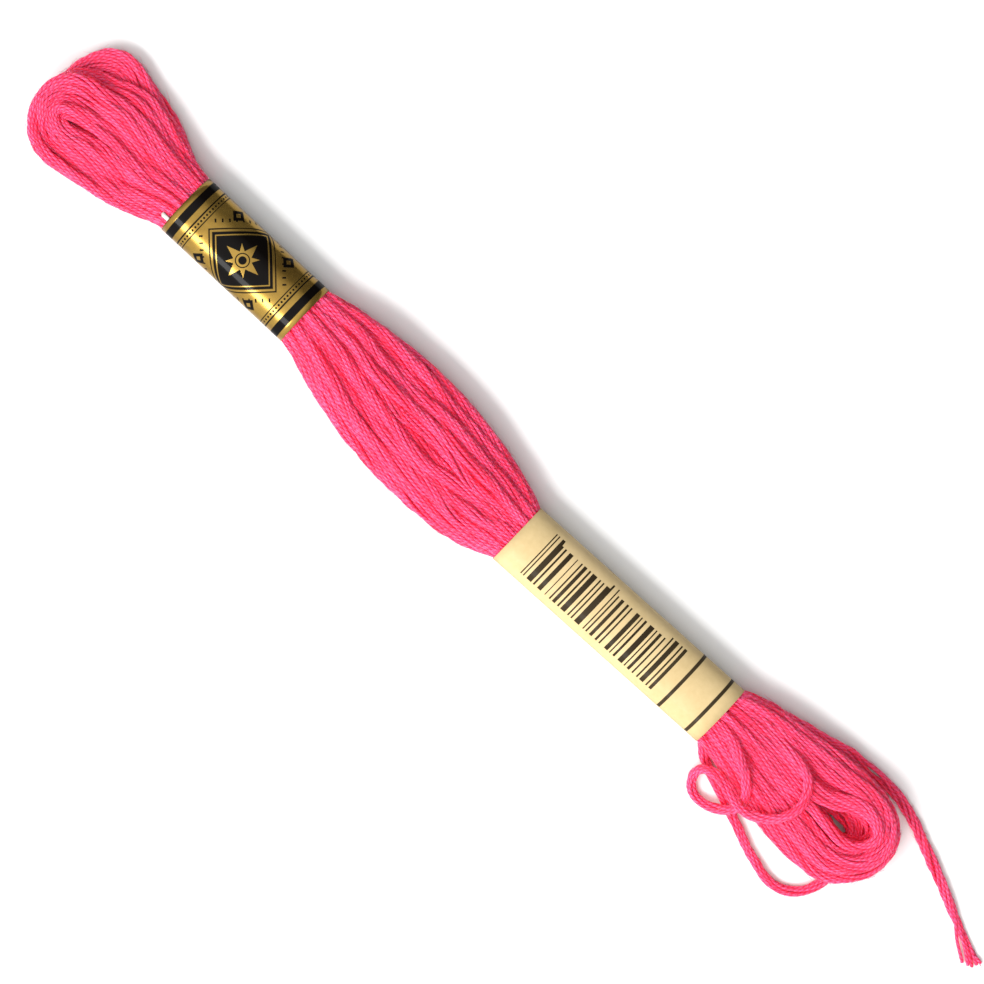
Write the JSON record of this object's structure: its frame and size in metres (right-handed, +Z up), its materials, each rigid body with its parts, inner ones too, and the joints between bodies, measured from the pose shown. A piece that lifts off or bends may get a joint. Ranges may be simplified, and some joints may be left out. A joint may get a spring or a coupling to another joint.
{
  "type": "skein of embroidery floss",
  "caption": "Flat-lying pull skein of pink six-strand cotton floss, pinched by two paper bands, looped at both ends, with a free frayed tail and slack turns by the lower loop.",
  "frame": {"origin": "on the surface that the skein lies on, under the middle of the wound hank's box, the free tail and slack turns left out", "axes": "+X along the skein from the gold band's end to the cream band's end, +Y across it, +Z up"},
  "size_m": [0.1889, 0.0237, 0.008],
  "materials": {
    "floss": "mercerised cotton, soft silky sheen along the thread",
    "gold_paper": "glossy gold foil paper with black print",
    "cream_paper": "glossy coated cream paper with black print"
  },
  "bodies": {
    "root": {"hank": "floss", "band_gold": "gold_paper", "band_cream": "cream_paper", "pull_tail": "floss", "slack_curl": "floss", "slack_bight": "floss"}
  },
  "joints": []
}
